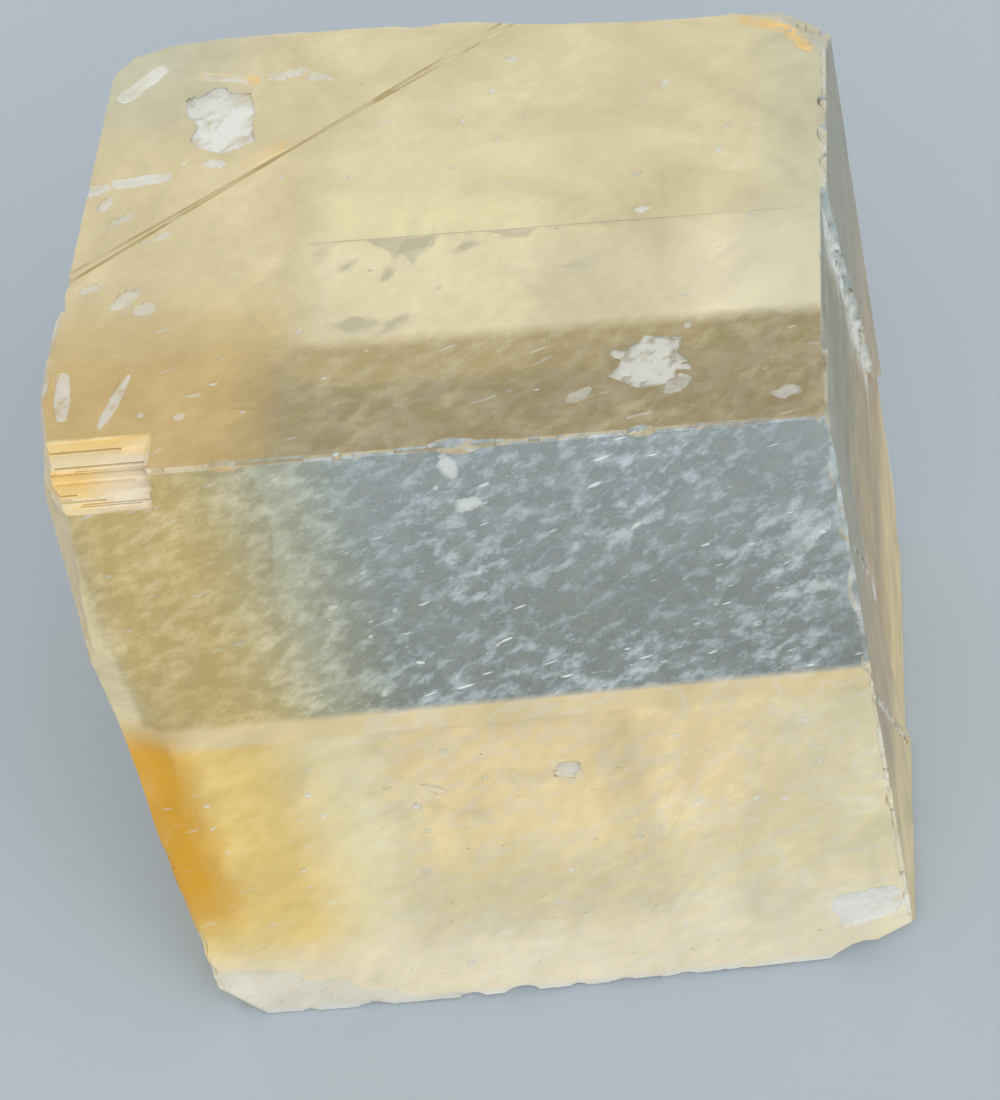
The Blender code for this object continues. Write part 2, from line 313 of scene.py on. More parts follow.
def edge_cells(count):
    """Yield one cell after another along all twelve edges, clear of the corners."""
    for axis in range(3):
        cell = (EDGES[axis] - 2 * NICK_MARGIN) / count
        for sides in ((0, 0), (0, 1), (1, 0), (1, 1)):
            for number in range(count):
                yield axis, sides, NICK_MARGIN + number * cell, cell


def keeps_nick(draw, axis, sides, chance):
    """Say whether a cell gets its nick: seldom on the crisp top front edge."""
    crisp = axis == 0 and sides == (0, 1)
    return draw.random() < chance * (CRISP_SHARE if crisp else 1.0)


def step_layer(name, count, depth, chance, seed):
    """Cut small cleavage steps into the edges, at most one in each cell."""
    draw = random.Random(seed)
    cutter = Cutter(name)
    for axis, sides, start, cell in edge_cells(count):
        length = cell * draw.uniform(0.3, 0.92)
        place, others = edge_place(axis, sides, start + draw.uniform(0.02, 0.07) * cell)
        reaches = [draw.uniform(*depth) for _ in others]
        if not keeps_nick(draw, axis, sides, chance):
            continue
        low = list(place)
        high = list(place)
        high[axis] += length
        for other, side, inward in zip(others, sides, reaches):
            low[other] += -inward if side else -OVERRUN / 4
            high[other] += OVERRUN / 4 if side else inward
        cutter.block(low, high)
    cutter.done()


def shell_layer(name, count, radius, depth, chance, seed):
    """Cut small curved chips into the edges, at most one in each cell."""
    names = (("left", "right"), ("front", "back"), ("base", "top"))
    draw = random.Random(seed)
    cutter = Cutter(name)
    for axis, sides, start, cell in edge_cells(count):
        size = min(draw.uniform(*radius), cell * 0.4)
        stretch = draw.uniform(1.0, max(1.0, 0.42 * cell / size))
        place, others = edge_place(axis, sides, start + cell * 0.5)
        faces = {names[other][side]: draw.uniform(0.6, 1.4) for other, side in zip(others, sides)}
        if not keeps_nick(draw, axis, sides, chance):
            continue
        cutter.ball(place, faces, size, size * draw.uniform(*depth),
                    along=(FRONT, DEPTH, RISE)[axis], stretch=stretch,
                    seed=draw.randrange(1000), fineness=3 if size > LARGE_SHELL else 2)
    cutter.done()


def worn_edges():
    """Wear the twelve edges with four layers of fine nicks."""
    step_layer("long_steps", count=9, depth=(0.08, 0.26), chance=0.75, seed=61)
    shell_layer("shells", count=11, radius=(0.6, 1.5), depth=(0.22, 0.42), chance=0.7, seed=62)
    step_layer("short_steps", count=26, depth=(0.05, 0.2), chance=0.7, seed=63)
    shell_layer("small_shells", count=34, radius=(0.3, 0.7), depth=(0.3, 0.6), chance=0.75,
                seed=64)


# The ledges, as the CAD has them: how far back each goes from the front face, and its height.
# Thin steps are cut into them between two heights, as far right as the ledges go.
LEDGES = ((3.1, 47.2), (2.5, 46.9), (1.6, 46.2), (1.2, 45.9), (0.5, 44.7))
LEDGE_STEPS = (44.8, 47.0)
LEDGES_END = 7.6

# All of the ledges lies left of the first of these, in front of the second and above the third.
LEDGE_BOX = (7.7, 3.8, 44.6)


def fine_ledges():
    """Cut thin cleavage steps into the ledges at the left end of the top front edge."""
    draw = random.Random(8)
    level, highest = LEDGE_STEPS
    cutter = Cutter("fine_ledges")
    while level < highest:
        thickness = draw.uniform(0.07, 0.22)
        start = draw.uniform(-OVERRUN, 3.0)
        end = min(start + draw.uniform(3.0, 8.0), LEDGES_END)
        shelf = max(depth for depth, height in LEDGES if height <= level + 0.3)
        back = shelf + draw.uniform(0.04, 0.22)
        cutter.block((start, -OVERRUN, level), (end, back, level + thickness))
        level += thickness + draw.uniform(0.05, 0.2)
    cutter.done()


# The middle of the largest patches on the top lies a little below it.
SUNK = RISE_EDGE - 0.10

# Shallow broken patches on a face: face, place, radii, depth, turn in degrees, whiteness.
PITS = (
    ("top", (7.2, 31.5, SUNK), (1.8, 1.7), 0.15, 12, 0.9),
    ("top", (8.6, 28.8, SUNK), (2.1, 1.8), 0.16, 4, 0.95),
    ("top", (37.0, 5.7, SUNK), (2.5, 1.8), 0.16, 12, 0.85),
    ("top", (38.9, 3.6, RISE_EDGE), (1.1, 0.6), 0.10, 40, 0.65),
    ("top", (32.9, 3.3, RISE_EDGE), (1.0, 0.4), 0.08, 30, 0.55),
    ("top", (3.6, 24.7, RISE_EDGE), (1.9, 0.42), 0.10, 6, 0.8),
    ("top", (0.9, 24.1, RISE_EDGE), (1.0, 0.45), 0.12, 15, 0.8),
    ("top", (1.6, 22.8, RISE_EDGE), (0.8, 0.40), 0.10, 50, 0.7),
    ("top", (2.9, 21.3, RISE_EDGE), (0.9, 0.35), 0.10, 30, 0.7),
    ("top", (8.1, 25.8, RISE_EDGE), (0.7, 0.40), 0.08, 0, 0.9),
    ("top", (5.6, 19.5, RISE_EDGE), (0.7, 0.25), 0.06, 30, 0.6),
    ("top", (4.2, 14.3, RISE_EDGE), (1.3, 0.50), 0.10, 40, 0.7),
    ("top", (5.4, 13.3, RISE_EDGE), (0.7, 0.50), 0.08, 10, 0.6),
    ("top", (1.9, 15.4, RISE_EDGE), (0.9, 0.30), 0.08, 20, 0.6),
    ("top", (1.5, 6.5, RISE_EDGE), (0.45, 1.9), 0.12, -4, 0.7),
    ("top", (4.7, 5.8, RISE_EDGE), (2.3, 0.32), 0.09, 66, 0.7),
    ("top", (2.4, 33.9, RISE_EDGE), (2.2, 0.50), 0.10, 44, 0.65),
    ("top", (11.9, 33.9, RISE_EDGE), (1.4, 0.45), 0.08, 12, 0.65),
    ("top", (14.1, 33.4, RISE_EDGE), (0.9, 0.40), 0.08, -8, 0.6),
    ("top", (26.9, 33.9, RISE_EDGE), (0.5, 0.3), 0.07, 0, 0.7),
    ("top", (35.8, 22.0, RISE_EDGE), (0.4, 0.2), 0.06, 0, 0.8),
    ("top", (36.3, 18.8, RISE_EDGE), (0.6, 0.3), 0.06, 0, 0.8),
    ("top", (45.8, 2.2, RISE_EDGE), (1.0, 0.5), 0.07, 10, 0.7),
    ("front", (24.9, 0.0, 46.0), (0.60, 1.1), 0.10, 20, 0.8),
    ("front", (25.6, 0.0, 43.1), (0.9, 0.60), 0.10, 0, 0.8),
    ("front", (27.2, 0.0, 20.6), (1.0, 0.70), 0.10, 0, 0.75),
    ("front", (18.5, 0.0, 20.0), (0.9, 0.3), 0.08, -30, 0.4),
    ("front", (45.4, 0.0, 5.2), (2.2, 1.5), 0.20, 15, 0.9),
    ("front", (45.6, 0.0, 38.4), (1.0, 1.9), 0.08, -35, 0.45),
    ("front", (46.0, 0.0, 34.4), (0.8, 0.7), 0.08, 0, 0.5),
    ("front", (35.3, 0.0, 16.6), (0.5, 0.3), 0.06, 20, 0.6),
    ("front", (24.3, 0.0, 8.6), (0.4, 0.3), 0.06, 0, 0.6),
    ("front", (43.8, 0.0, 19.2), (0.3, 0.4), 0.06, 0, 0.5),
    ("front", (16.3, 0.0, 12.7), (0.4, 0.3), 0.06, 0, 0.5),
)

# Thin flakes under the top, laid out as the patches are: each is cut as a shallow patch and carries a
# painted gold glint.
FLAKES_WITH_PAINTED_GLINTS = (
    ("top", (8.1, 33.9, RISE_EDGE), (2.0, 0.40), 0.05, -12, 0.9),
    ("top", (11.4, 26.4, RISE_EDGE), (1.9, 0.45), 0.05, 30, 0.6),
    ("top", (44.4, 35.6, RISE_EDGE), (2.0, 0.50), 0.05, -25, 1.0),
    ("top", (46.6, 33.6, RISE_EDGE), (1.4, 0.45), 0.05, -50, 1.0),
)

# The turn in degrees of the patches in the lines on the right face.
LINE_TURN = 20


def crushed_line(start, end, count, widths, lengths, depth, strength, seed):
    """Return crushed patches in a row on the right face, between two places b, c."""
    draw = random.Random(seed)
    patches = []
    for number in range(count):
        share = (number + 0.5) / count
        b = start[0] + (end[0] - start[0]) * share
        c = start[1] + (end[1] - start[1]) * share
        radii = (draw.uniform(*widths), draw.uniform(*lengths))
        place = (FRONT_EDGE - depth / 2, b, c)
        patches.append(("right", place, radii, depth, LINE_TURN, strength))
    return patches


# Tiny chips: the face, where its cells lie along its two edges, and the share of cells chipped.
SPECK_FIELDS = (
    ("top", (3.0, 46.0), (3.0, 36.0), 0.14),
    ("front", (3.0, 46.0), (2.0, 25.0), 0.42),
    ("front", (12.0, 46.0), (28.0, 46.0), 0.22),
)
SPECK_CELL = 2.2
SPECK_DEPTH = 0.05


def specks(face, firsts, seconds, share, seed):
    """Return tiny chips scattered over part of a face, at most one in each cell."""
    draw = random.Random(seed)
    found = []
    for row in range(int((seconds[1] - seconds[0]) / SPECK_CELL)):
        for column in range(int((firsts[1] - firsts[0]) / SPECK_CELL)):
            first = firsts[0] + SPECK_CELL * (column + draw.uniform(0.3, 0.7))
            second = seconds[0] + SPECK_CELL * (row + draw.uniform(0.3, 0.7))
            length = draw.uniform(0.08, 0.34) * draw.uniform(0.6, 1.3)
            radii = (length, length * draw.uniform(0.3, 0.8))
            turn = draw.uniform(-10.0, 45.0)
            if draw.random() < share:
                place = (first, second, RISE_EDGE) if face == "top" else (first, 0.0, second)
                strength = draw.uniform(0.5, 0.95)
                found.append((face, place, radii, SPECK_DEPTH, turn, strength))
    return found


def bruised_faces():
    """Take shallow, ragged patches out of the faces."""
    for number, patch in enumerate(ALL_PATCHES):
        cutter = Cutter(f"bruise_{number}")
        cutter.bruise(*patch[:-1], BRUISE_SEED + number)
        cutter.done()
    for number, field in enumerate(SPECKS):
        cutter = Cutter(f"specks_{number}")
        for seed, patch in enumerate(field):
            cutter.bruise(*patch[:-1], seed)
        cutter.done()


# The white lines down the right face: the crushed edge of the layer that peeled off, and two
# finer ones below it, each from b, c to b, c.
FINE_LINE = {"count": 14, "lengths": (0.9, 1.4), "depth": 0.14, "strength": 1.0}
RIGHT_LINES = (
    *crushed_line((18.6, 45.6), (31.0, 22.4), count=9, widths=(0.8, 1.3), lengths=(1.2, 2.0),
                  depth=0.45, strength=0.95, seed=3),
    *crushed_line((2.0, 35.2), (16.0, 15.5), widths=(0.2, 0.45), seed=4, **FINE_LINE),
    *crushed_line((1.5, 22.5), (15.1, 3.4), widths=(0.2, 0.5), seed=5, **FINE_LINE),
)
SPECKS = [specks(*field, SPECK_SEED + number) for number, field in enumerate(SPECK_FIELDS)]
ALL_PATCHES = (*PITS, *RIGHT_LINES, *FLAKES_WITH_PAINTED_GLINTS)
WHITE_PATCHES = (*PITS, *RIGHT_LINES, *[speck for field in SPECKS for speck in field])

# The crack: its two ends along a, how far back it lies, and its depth, width and reach above
# the top. The flags that hang from it: middle along a, half width and depth.
CRACK_ENDS = (14.9, 46.9)
CRACK_BACK = 17.9
CRACK_LINE = 0.13
CRACK_WIDTH = 0.02
CRACK_REACH = 0.4
CRACK_PIECES = 130
CRACK_FLAGS = ((20.9, 2.3, 4.8), (27.9, 1.6, 2.0), (33.6, 0.7, 0.5))


def cleavage_crack():
    """Open a thin crack along the front cleavage below the top, with a few deeper flags."""
    draw = random.Random(5)
    start, end = CRACK_ENDS
    lower = []
    for number in range(CRACK_PIECES + 1):
        a = start + (end - start) * number / CRACK_PIECES
        depth = CRACK_LINE * draw.uniform(0.6, 1.4)
        for middle, half, deep in CRACK_FLAGS:
            share = abs(a - middle) / half
            if share < 1.0:
                ragged = 0.55 + 0.45 * noise.noise(Vector((a * 1.7, middle, 0.0)))
                depth += deep * (1.0 - share * share) * ragged * draw.uniform(0.75, 1.1)
        lower.append((a, RISE_EDGE - depth))
    outline = [(start, RISE_EDGE + CRACK_REACH), *lower, (end, RISE_EDGE + CRACK_REACH)]
    cutter = Cutter("crack")
    cutter.film(outline, CRACK_BACK, CRACK_WIDTH)
    cutter.done()


def cad_copy():
    """Return a copy of the CAD mesh with its doubled points joined, so that it is closed."""
    edit = bmesh.new()
    edit.from_mesh(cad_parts[NODE].data)
    bmesh.ops.remove_doubles(edit, verts=edit.verts[:], dist=0.001 * MM)
    mesh = bpy.data.meshes.new("calcite_crystal")
    edit.to_mesh(mesh)
    edit.free()
    crystal = bpy.data.objects.new("calcite_crystal", mesh)
    bpy.context.scene.collection.objects.link(crystal)
    return crystal


def crystal_mesh():
    """Return the crystal: the CAD mesh with all the fine cuts taken out of it."""
    crystal = cad_copy()
    smooth_corner_breaks()
    smooth_curved_chips()
    worn_edges()
    fine_ledges()
    bruised_faces()
    cleavage_crack()
    for cutter in Cutter.made:
        cut = crystal.modifiers.new(cutter.name, "BOOLEAN")
        cut.operation = "DIFFERENCE"
        cut.solver = "MANIFOLD"
        cut.object = cutter
    settled = crystal.evaluated_get(bpy.context.evaluated_depsgraph_get())
    crystal.data = bpy.data.meshes.new_from_object(settled)
    crystal.modifiers.clear()
    for cutter in Cutter.made:
        bpy.data.objects.remove(cutter, do_unlink=True)
    divide_faces(crystal.data)
    shade(crystal.data)
    return crystal


# The two faint lines where a twin layer meets the top: each from a, b to a, b.
TWIN_LINES = (((0.2, 15.9), (26.4, 38.0)), ((1.2, 17.5), (27.6, 38.1)))
TWIN_WIDTH = 0.22

# Where areas of the faces begin: the light part of the top along b, behind its brown band of
# painted shade, and the strip and the clear window of the front along c.
BAND_EDGE = (8.4, 9.6)
STRIP_FOOT = (25.0, 25.6)
WINDOW_FOOT = (26.9, 27.5)

# Where the surface is divided, so that it can carry soft shades: at rims beside each edge, at a
# grid between them, and along a, b and c where a shade changes fast.
EDGE_RIMS = (0.3, 0.9, 1.8)
SHADE_GRID = 3.0
SHARP_LEVELS = ((3.0, 15.0), BAND_EDGE, (*STRIP_FOOT, *WINDOW_FOOT))

# A surface is taken for a cleavage plane where its normal agrees with a face's to this cosine,
# and for a broken one where it lies deeper than this below the face. Edges bent by more than
# the sharp angle, in degrees, stay sharp.
FLAT = 0.9997
RECESS = 0.05
SHARP_ANGLE = 28.0


def twin_lines():
    """Yield a point on each twin line and the direction across it, in millimetres."""
    for start, end in TWIN_LINES:
        line_start = point(*start, RISE_EDGE) / MM
        run = (point(*end, RISE_EDGE) / MM - line_start).normalized()
        yield line_start, OUTWARD["top"].cross(run)


def cut_along(edit, faces, spot, normal):
    """Divide some faces along a plane."""
    items = dict.fromkeys(faces)
    for face in faces:
        items.update(dict.fromkeys(face.verts))
        items.update(dict.fromkeys(face.edges))
    bmesh.ops.bisect_plane(edit, geom=list(items), dist=0.002 * MM, plane_co=spot, plane_no=normal)


def shade_levels(edge):
    """Return the places along one of the crystal's edges where the surface is divided."""
    *near_rims, last_rim = EDGE_RIMS
    count = round((edge - 2 * last_rim) / SHADE_GRID)
    spacing = (edge - 2 * last_rim) / count
    levels = [last_rim + spacing * number for number in range(count + 1)]
    return [*levels, *near_rims, *[edge - rim for rim in near_rims]]


def divide_faces(mesh):
    """Divide the surface into cells along the cleavages, and the top along the twin lines."""
    edit = bmesh.new()
    edit.from_mesh(mesh)
    for axis, face in enumerate(("right", "back", "top")):
        for level in (*shade_levels(EDGES[axis]), *SHARP_LEVELS[axis]):
            place = [0.0, 0.0, 0.0]
            place[axis] = level
            cut_along(edit, edit.faces[:], point(*place), OUTWARD[face])
    for line_start, across in twin_lines():
        for side in (-0.5, 0.5):
            edit.normal_update()
            tops = [face for face in edit.faces if face.normal.dot(OUTWARD["top"]) > FLAT]
            spot = (line_start + across * side * TWIN_WIDTH) * MM
            cut_along(edit, tops, spot, across)
    edit.to_mesh(mesh)
    edit.free()


def lattice_places(spots):
    """Return a, b and c for an array of points given in metres."""
    volume = FRONT.dot(DEPTH.cross(RISE))
    duals = np.array((DEPTH.cross(RISE), RISE.cross(FRONT), FRONT.cross(DEPTH))) / volume
    return spots @ duals.T / MM + np.array((FRONT_EDGE / 2, DEPTH_EDGE / 2, 0.0))


def step(values, none, full):
    """Return 0 where values are at none, 1 where they are at full, and smooth between."""
    share = np.clip((values - none) / (full - none), 0.0, 1.0)
    return share * share * (3.0 - 2.0 * share)


def blend(first, second, share):
    """Return colours between two colours."""
    return first + (np.array(second) - first) * share[:, None]


def clouds(places, size, seed):
    """Return soft clouds from 0 to 1 at each place."""
    shift = np.array(CLOUD_SHIFT) * seed
    return np.array([0.5 + noise.noise(spot) for spot in places / np.array(size) + shift])


def all_over(colour, places):
    """Return one colour for every place."""
    return np.tile(np.array(colour), (len(places), 1))


# A patch's colour ends at this many times its radii, and this far from its face's plane.
PATCH_RIM = 1.6
PATCH_REACH = 0.6


def patch_strength(places, patches):
    """Return how strong the patches are at each place, softer towards their rims."""
    most = np.zeros(len(places))
    axes = {"top": (0, 1, 2), "front": (0, 2, 1), "right": (1, 2, 0)}
    for face, centre, radii, _, turn, strength in patches:
        first_axis, second_axis, across_axis = axes[face]
        first = places[:, first_axis] - centre[first_axis]
        second = places[:, second_axis] - centre[second_axis]
        cosine, sine = math.cos(math.radians(turn)), math.sin(math.radians(turn))
        along = (first * cosine + second * sine) / radii[0]
        across = (second * cosine - first * sine) / radii[1]
        power = squareness_power(radii)
        reach = (np.abs(along) ** power + np.abs(across) ** power) ** (1.0 / power)
        inside = step(reach, PATCH_RIM, 1.05 if power > ELLIPSE else 0.55)
        inside[np.abs(places[:, across_axis] - centre[across_axis]) > PATCH_REACH] = 0.0
        most = np.maximum(most, inside * strength)
    return most


# Colours of the faces, then of the ledges and lines on them, the right face and the marks.
CREAM = (0.84, 0.76, 0.47)
BRIGHT = (0.92, 0.84, 0.54)
WARM = (0.96, 0.77, 0.42)
TAN = (0.79, 0.69, 0.42)
STRIP = (0.80, 0.65, 0.36)
DARK_TAN = (0.66, 0.48, 0.20)
SAGE_TAN = (0.66, 0.65, 0.46)
GOLD = (0.88, 0.64, 0.20)
OLIVE_GOLD = (0.74, 0.57, 0.22)
SAGE = (0.58, 0.60, 0.42)
# Painted shade: the brown of the shaded floor seen through the crystal, laid on the top's front band.
PAINTED_SHADE_BROWN = (0.46, 0.38, 0.19)
AMBER = (0.74, 0.38, 0.01)
# Painted shade: the cool grey of the shaded floor seen through the crystal, laid on the front's clear
# window.
PAINTED_SHADE_COOL = (0.44, 0.55, 0.61)
PALE = (0.90, 0.86, 0.68)
PALE_EDGE = (0.73, 0.63, 0.37)
FOOT = (0.92, 0.83, 0.58)
LEDGE_GOLD = (1.0, 0.72, 0.28)
LEDGE_CREAM = (0.97, 0.79, 0.43)
LEDGE_PINK = (0.95, 0.83, 0.62)
# Painted glint: the gold that thin flakes under the top gleam with.
PAINTED_GLINT_GOLD = (0.95, 0.66, 0.26)
TWIN_BROWN = (0.46, 0.35, 0.14)
RIGHT_TOP = (0.30, 0.29, 0.165)
RIGHT_MIDDLE = (0.50, 0.36, 0.15)
RIGHT_LOW = (0.88, 0.69, 0.30)
WHITE = (0.80, 0.83, 0.80)
SMUDGE = (0.10, 0.11, 0.06)


def top_look(a, b, c):
    """Return the haze, felt, wisps and tint of the top face, with painted shade on its front band and
    a painted reflection in the haze at its right.
    """
    left = step(a, 16.5, 12.5)
    back = step(b, 20.0, 26.0)
    right = step(a, 37.0, 42.0) * step(b, *BAND_EDGE)
    # Painted shade: the front band of the top is brown and hazy, as the shaded floor seen through it.
    painted_shade_band = step(b, *reversed(BAND_EDGE)) * (1.0 - left)
    window = step(a, 38.0, 26.0) * step(b, 11.0, 17.0) * step(b, 27.0, 21.0)
    near = step(b, 20.0, 16.0) * step(b, *BAND_EDGE)
    # The extra haze at the right is partly frost and partly a painted reflection of light bounced
    # inside the crystal.
    haze = 0.42 + 0.36 * np.maximum(back, right) + 0.16 * np.maximum(window, near) * (1.0 - back)
    haze = np.maximum(haze, 0.80 * left)
    haze = haze * (1.0 - painted_shade_band) + 0.64 * painted_shade_band
    tint = all_over(CREAM, a)
    tint = blend(tint, BRIGHT, window)
    tint = blend(tint, PALE, 0.4 * near * (1.0 - left))
    tint = blend(tint, TAN, left)
    tint = blend(tint, DARK_TAN, left * step(b, 17.0, 6.0))
    tint = blend(tint, SAGE_TAN, step(a, 13.0, 4.0) * step(b, 27.0, 33.0))
    tint = blend(tint, SAGE_TAN, step(a, 41.0, 47.0) * 0.8)
    tint = blend(tint, PAINTED_SHADE_BROWN, painted_shade_band)
    wisps = -step(b, 23.0, 17.0) * step(b, 8.0, 10.0) * step(a, 12.0, 15.0) * step(a, 36.0, 31.0)
    return haze, 0.06 + 0.14 * painted_shade_band, wisps + 0.4 * painted_shade_band, tint


def front_look(a, b, c):
    """Return the haze, felt, wisps and tint of the front face, with painted shade in its clear window.
    """
    left = step(a, 19.0, 9.0)
    low_left = step(a, 18.5, 14.0)
    clear = step(c, *WINDOW_FOOT)
    strip = step(c, *STRIP_FOOT) * (1.0 - clear)
    right = step(a, 29.0, 33.5)
    foot = step(c, 11.0, 5.0)
    stain = step(a, 4.2, 2.2) * step(c, 28.5, 24.5) * step(c, 8.0, 12.0)
    edge = step(a, 2.4, 1.2) * step(c, 23.0, 27.0)
    warm = step(a, 13.0, 18.0) * step(a, 47.0, 36.0) * step(c, 5.0, 20.0)
    low = (np.full(len(a), 0.60), 0.80 * right, 0.82 * low_left, 0.82 * foot, 0.86 * strip)
    haze = np.maximum.reduce(low) * (1.0 - clear) + clear * (0.15 + 0.46 * left)
    haze = np.maximum(haze, 0.88 * np.maximum(stain, edge))
    tint = all_over(CREAM, a)
    tint = blend(tint, FOOT, foot)
    tint = blend(tint, WARM, 0.9 * warm)
    tint = blend(tint, GOLD, step(a, 13.0, 7.0) * step(c, 4.0, 9.0))
    tint = blend(tint, STRIP, strip)
    # Painted shade: the clear window takes the cool grey of the shaded floor seen through it.
    tint = blend(tint, PAINTED_SHADE_COOL, clear)
    tint = blend(tint, SAGE, clear * step(a, 20.0, 14.0))
    tint = blend(tint, OLIVE_GOLD, clear * step(a, 15.0, 8.0))
    tint = blend(tint, PALE_EDGE, edge)
    tint = blend(tint, AMBER, stain)
    felt = (0.09 + 0.44 * clear - 0.30 * clear * left) * (1.0 - stain) * (1.0 - 0.5 * strip)
    wisps = 0.9 * clear * (1.0 - left) + 0.8 * (1.0 - clear) * step(a, 10.0, 16.0)
    return haze, felt, wisps, tint


def right_look(a, b, c):
    """Return the haze, felt, wisps and tint of the right face."""
    tint = all_over(RIGHT_MIDDLE, a)
    tint = blend(tint, RIGHT_TOP, step(c, 24.0, 36.0))
    tint = blend(tint, RIGHT_LOW, step(c, 18.0, 8.0))
    return np.full(len(a), 0.84), np.full(len(a), 0.3), np.zeros(len(a)), tint


def left_look(a, b, c):
    """Return the haze, felt, wisps and tint of the left face: warm, with gold by the stain."""
    front = step(b, 18.0, 4.0)
    high = step(c, 28.0, 42.0) * step(b, 12.0, 26.0)
    tint = all_over(WARM, a)
    tint = blend(tint, GOLD, front * step(c, 42.0, 22.0))
    tint = blend(tint, TAN, high)
    haze = 0.34 + 0.34 * front + 0.16 * high
    return haze, np.full(len(a), 0.10), 0.5 * (1.0 - front), tint


def back_look(a, b, c):
    """Return the haze, felt, wisps and tint of the back face: clear, with a little haze."""
    tint = all_over(PALE, a)
    low = step(c, 20.0, 2.0)
    return 0.08 + 0.2 * low, np.full(len(a), 0.12), np.full(len(a), 0.5), tint


def base_look(a, b, c):
    """Return the haze, felt, wisps and tint of the base: clear."""
    return np.full(len(a), 0.07), np.full(len(a), 0.06), np.zeros(len(a)), all_over(PALE, a)


LOOKS = {
    "top": top_look,
    "front": front_look,
    "right": right_look,
    "back": back_look,
    "left": left_look,
    "base": base_look,
}
SIDES = list(LOOKS)

# Soft clouds: their size, alike in all directions or along a, b and c, and their seed.
CLOUDS = {
    "broad": (6.0, 1),
    "close": (2.1, 2),
    "fine": (1.3, 3),
    "layers": ((6.0, 4.0, 0.2), 4),
}


def edge_distance(places):
    """Return each place's distance to the nearest of the twelve edges."""
    gaps = np.minimum(places, np.array(EDGES) - places)
    return np.sort(gaps, axis=1)[:, 1]


def face_notes(places, soft, sides):
    """Return the haze, felt, wisps and tint that the faces have, with soft clouds in them."""
    haze = np.zeros(len(places))
    felt = np.zeros(len(places))
    wisps = np.zeros(len(places))
    tint = np.zeros((len(places), 3))
    a, b, c = places.T
    for number, face in enumerate(LOOKS):
        there = sides == number
        look = LOOKS[face](a[there], b[there], c[there])
        haze[there], felt[there], wisps[there], tint[there] = look
    haze *= 0.92 + 0.12 * soft["broad"] + 0.04 * soft["close"]
    felt *= 0.7 + 0.7 * soft["broad"]
    mottle = np.where(sides == SIDES.index("right"), 0.28, 0.08)
    tint *= (1.0 + mottle * (soft["close"] + soft["fine"] - 1.0))[:, None]
    return haze, felt, wisps, tint


def ledge_tint(a, b, layers):
    """Return the colours of the ledges: gold and cream in layers, with pink at their end."""
    tint = blend(all_over(LEDGE_GOLD, a), LEDGE_CREAM, layers)
    return blend(tint, LEDGE_PINK, step(a, 3.5, 5.5) * step(b, 2.7, 1.9))


def add_features(haze, tint, places, soft, broken, ledge, rounded, olive):
    """Return haze and tint with broken parts, rounded corner, ledges, painted glints and twin lines.
    """
    a, b, _ = places.T
    haze[broken] = np.maximum(haze[broken], 0.35)
    haze = np.maximum(haze, 0.75 * rounded)
    tint = blend(tint, PALE, 0.6 * rounded)
    haze[ledge] = 0.85
    tint[ledge] = ledge_tint(a[ledge], b[ledge], step(soft["layers"], 0.3, 0.7)[ledge])
    # Painted glints: gold haze and tint on the flakes under the top.
    painted_glint = np.zeros(len(places))
    painted_glint[broken] = patch_strength(places[broken], FLAKES_WITH_PAINTED_GLINTS)
    painted_glint *= (0.2 + 1.1 * soft["fine"]).clip(0.0, 1.0)
    haze = np.maximum(haze, 0.85 * painted_glint)
    tint = blend(tint, PAINTED_GLINT_GOLD, painted_glint)
    haze = np.maximum(haze, 0.84 * olive)
    return haze, blend(tint, TWIN_BROWN, olive * (0.1 + 1.2 * soft["close"]).clip(0.0, 1.0))


def edge_dullness(places):
    """Return how much of its white an edge keeps: less when it is crisp or stained."""
    a, b, c = places.T
    crisp = (b < 1.2) & (c > RISE_EDGE - 1.2)
    stained = (a < 2.4) & (b < 2.0) & (c < 44.0)
    return np.where(crisp, 0.45, 1.0) * np.where(stained, 0.12, 1.0)


def whiteness(places, soft, broken, ledge, rounded):
    """Return how white patches, specks, worn edges, nicks, the foot and the ledges are."""
    _, b, c = places.T
    patches = np.zeros(len(places))
    patches[broken] = patch_strength(places[broken], WHITE_PATCHES)
    gap = edge_distance(places)
    dull = edge_dullness(places)
    worn = dull * step(gap, 0.45, 0.0) * 0.5
    nicked = dull * broken * step(gap, 1.3, 0.2) * (0.2 + 0.7 * soft["fine"]).clip(0.0, 0.8)
    nicked[ledge] = 0.0
    foot = np.where((b < 1.0) & (c < 3.0), 0.9 * step(c, 1.2, 0.1), 0.0)
    foot = np.maximum(foot, 0.5 * broken * (b < 2.0) * step(c, 6.0, 4.0))
    layered = np.where(ledge, 0.2 * step(soft["layers"], 0.55, 0.85), 0.0)
    return np.maximum.reduce((patches, worn, nicked, foot, layered, 0.25 * rounded))


def surface_notes(places, soft, sides, broken, olive):
    """Return the tint and haze, and the white, felt, roughness and wisps, at each place."""
    a, b, c = places.T
    haze, felt, wisps, tint = face_notes(places, soft, sides)
    rounded = broken * step(a, 9.0, 5.0) * step(b, 30.0, 34.0)
    ledge = (a < LEDGE_BOX[0]) & (b < LEDGE_BOX[1]) & (c > LEDGE_BOX[2])
    ledge &= (b > RECESS) & (c < RISE_EDGE - RECESS)
    haze, tint = add_features(haze, tint, places, soft, broken, ledge, rounded, olive)
    white = whiteness(places, soft, broken, ledge, rounded)
    rough = 0.025 + 0.25 * (sides == SIDES.index("right")) + 0.08 * broken
    return np.column_stack((tint, haze)), np.column_stack((white, felt, rough, 0.5 + 0.5 * wisps))


